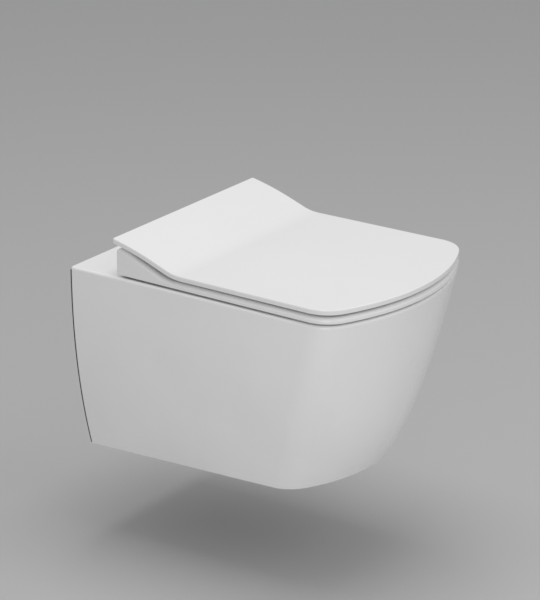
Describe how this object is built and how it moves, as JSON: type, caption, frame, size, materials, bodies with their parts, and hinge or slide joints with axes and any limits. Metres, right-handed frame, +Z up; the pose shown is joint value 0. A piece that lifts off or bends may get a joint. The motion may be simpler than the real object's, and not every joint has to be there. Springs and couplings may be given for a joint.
{
  "type": "wall hung toilet",
  "caption": "Wall hung toilet: rimless ceramic pan with a hinged soft-close seat ring and a hinged slim lid that sweeps up at the rear.",
  "frame": {"origin": "midway between the two wall studs, on the face of the wall", "axes": "+Z up, +Y into the wall, +X to the right for a person facing the toilet; the front of the bowl points along -Y"},
  "size_m": [0.361, 0.5084, 0.3779],
  "materials": {
    "glazed_ceramic": "gloss",
    "white_duroplast": "gloss",
    "white_plastic": "satin",
    "white_rubber": "matt",
    "black_rubber": "matt",
    "grey_foam": "matt",
    "grey_plastic": "matt",
    "chrome": "polished",
    "stainless_steel": "satin",
    "zinc_steel": "satin"
  },
  "bodies": {
    "pan_body": {"pan": "glazed_ceramic", "pan_basin": "glazed_ceramic", "pan_trapway": "glazed_ceramic", "pan_back_wall": "glazed_ceramic", "sound_insulation_mat": "grey_foam", "wall_sleeves": "grey_plastic", "wall_washers": "zinc_steel", "wall_nuts": "zinc_steel", "flush_distributor": "white_plastic", "left_base_gasket": "white_rubber", "left_base_plate": "chrome", "left_hinge_arm": "chrome", "right_base_gasket": "white_rubber", "right_base_plate": "chrome", "right_hinge_arm": "chrome", "seat_damper": "grey_plastic", "lid_hinge_pin": "stainless_steel", "lid_damper": "grey_plastic", "seat_hinge_pin": "stainless_steel", "seat_fixing_bolts": "stainless_steel", "expanding_bushes": "black_rubber", "seat_fixing_nuts": "stainless_steel"},
    "seat_body": {"seat_ring": "white_duroplast", "seat_buffers": "white_rubber", "seat_damper_shaft": "stainless_steel"},
    "lid_body": {"lid": "white_duroplast", "lid_buffers": "white_rubber", "lid_damper_shaft": "stainless_steel"}
  },
  "joints": [
    {"name": "seat_hinge", "type": "hinge", "parent": "pan_body", "child": "seat_body", "pos_m": [0, -0.09, 0.1215], "axis": [-1, 0, 0], "range_deg": [0, 95]},
    {"name": "lid_hinge", "type": "hinge", "parent": "seat_body", "child": "lid_body", "pos_m": [0, -0.09, 0.1215], "axis": [-1, 0, 0], "range_deg": [0, 100]}
  ]
}
